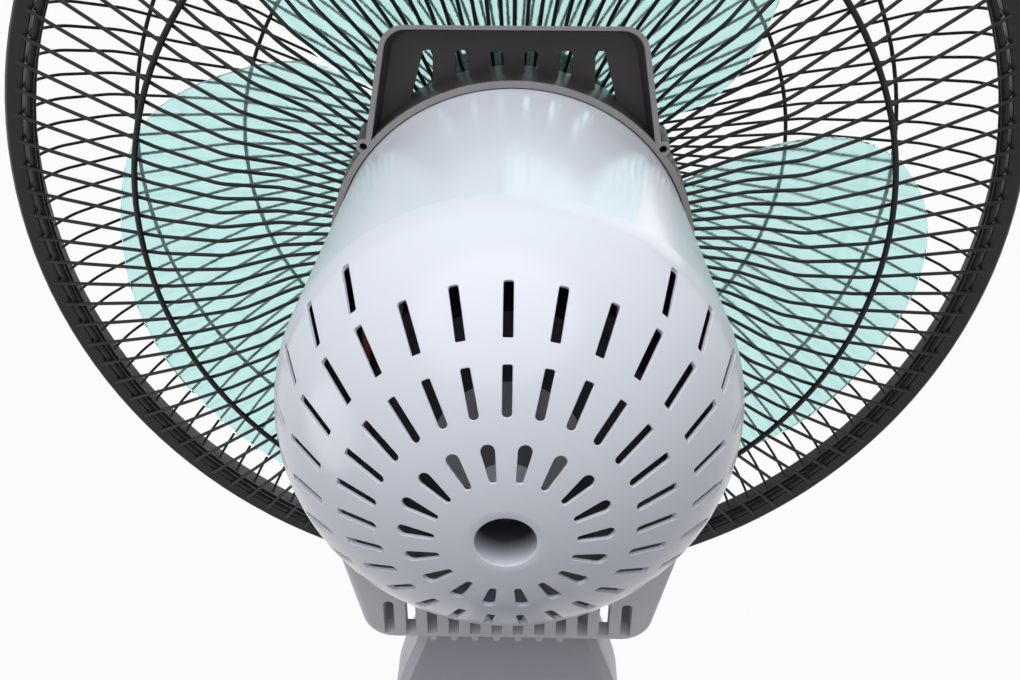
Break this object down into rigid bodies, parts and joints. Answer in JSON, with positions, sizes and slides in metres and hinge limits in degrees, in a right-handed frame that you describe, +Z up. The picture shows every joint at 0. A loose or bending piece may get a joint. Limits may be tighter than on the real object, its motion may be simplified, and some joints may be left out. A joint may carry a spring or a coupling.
{
  "type": "wall mounted fan",
  "caption": "Wall fan with a round wire guard, wide translucent blades and a slotted domed motor housing; the head swings and tilts on a neck and arm above a wall base with knob and button.",
  "frame": {"origin": "centre of the wall plate's rear face, on the wall", "axes": "+Z up, +Y into the wall, so the fan blows towards -Y; +X to the right seen from the front"},
  "size_m": [0.4339, 0.3435, 0.645],
  "materials": {
    "housing_plastic": "smooth gloss",
    "pale_plastic": "smooth semi-gloss",
    "grey_plastic": "fine moulded grain",
    "guard_paint": "semi-gloss dip coat on steel wire",
    "black_plastic": "semi-gloss moulding",
    "blade_plastic": "translucent polished moulding",
    "screw_steel": "zinc plated",
    "plate_steel": "zinc plated sheet",
    "cast_alloy": "as cast",
    "motor_paint": "satin black enamel on cast metal",
    "core_steel": "varnished laminations",
    "copper": "varnished copper wire",
    "bronze": "sintered sleeve",
    "lead_red": "wire insulation",
    "switch_plastic": "moulded",
    "capacitor_plastic": "moulded case",
    "washer_nylon": "moulded",
    "grommet_rubber": "moulded"
  },
  "bodies": {
    "base": {"wall_plate": "plate_steel", "base_cover": "pale_plastic", "cover_screws": "screw_steel", "arm": "pale_plastic", "arm_bolts": "screw_steel", "control_panel": "grey_plastic", "rotary_switch": "switch_plastic", "button_switch": "switch_plastic", "terminal_block": "switch_plastic", "capacitor": "capacitor_plastic", "inlet_grommet": "grommet_rubber"},
    "speed_knob": {"speed_knob": "black_plastic"},
    "swing_button": {"swing_button": "black_plastic"},
    "neck": {"neck": "pale_plastic", "tilt_bolt": "screw_steel", "swing_pin": "screw_steel", "thrust_washer": "washer_nylon", "pin_clip": "screw_steel"},
    "tilt_knob": {"tilt_knob": "black_plastic"},
    "head": {"head_bracket": "grey_plastic", "lower_shroud": "pale_plastic", "pivot_block": "cast_alloy", "pivot_screws": "screw_steel", "shroud_screws": "screw_steel", "swing_motor": "switch_plastic", "motor_housing": "housing_plastic", "housing_screw": "screw_steel", "front_bell": "motor_paint", "rear_bell": "motor_paint", "stator_core": "core_steel", "windings": "copper", "motor_bolts": "screw_steel", "lead_wires": "lead_red", "front_bearing": "bronze", "rear_bearing": "bronze", "bracket_screws": "screw_steel", "rear_guard": "guard_paint", "guard_ring": "guard_paint", "guard_nut": "black_plastic", "rim_band": "black_plastic", "rim_clip": "black_plastic", "front_guard": "guard_paint", "front_badge": "black_plastic"},
    "rotor": {"motor_shaft": "screw_steel", "rotor_core": "core_steel", "drive_pin": "screw_steel", "fan_blade": "blade_plastic", "blade_nut": "black_plastic"}
  },
  "joints": [
    {"name": "speed_select", "type": "hinge", "parent": "base", "child": "speed_knob", "pos_m": [-0.027, -0.055, -0.074], "axis": [0, 1, 0], "range_deg": [0, 135]},
    {"name": "swing_press", "type": "slide", "parent": "base", "child": "swing_button", "axis": [0, 1, 0], "range_m": [0, 0.003], "stiffness_N_per_m": 300, "springref_m": -0.001},
    {"name": "head_tilt", "type": "hinge", "parent": "base", "child": "neck", "pos_m": [0, -0.2, 0.067], "axis": [1, 0, 0], "range_deg": [-10, 20]},
    {"name": "tilt_clamp", "type": "hinge", "parent": "neck", "child": "tilt_knob", "pos_m": [0.058, -0.2, 0.067], "axis": [1, 0, 0], "continuous": true},
    {"name": "head_swing", "type": "hinge", "parent": "neck", "child": "head", "pos_m": [0, -0.2, 0.18], "axis": [0, 0, 1], "range_deg": [-40, 40]},
    {"name": "blade_spin", "type": "hinge", "parent": "head", "child": "rotor", "pos_m": [0, -0.28, 0.315], "axis": [0, 1, 0], "continuous": true}
  ]
}
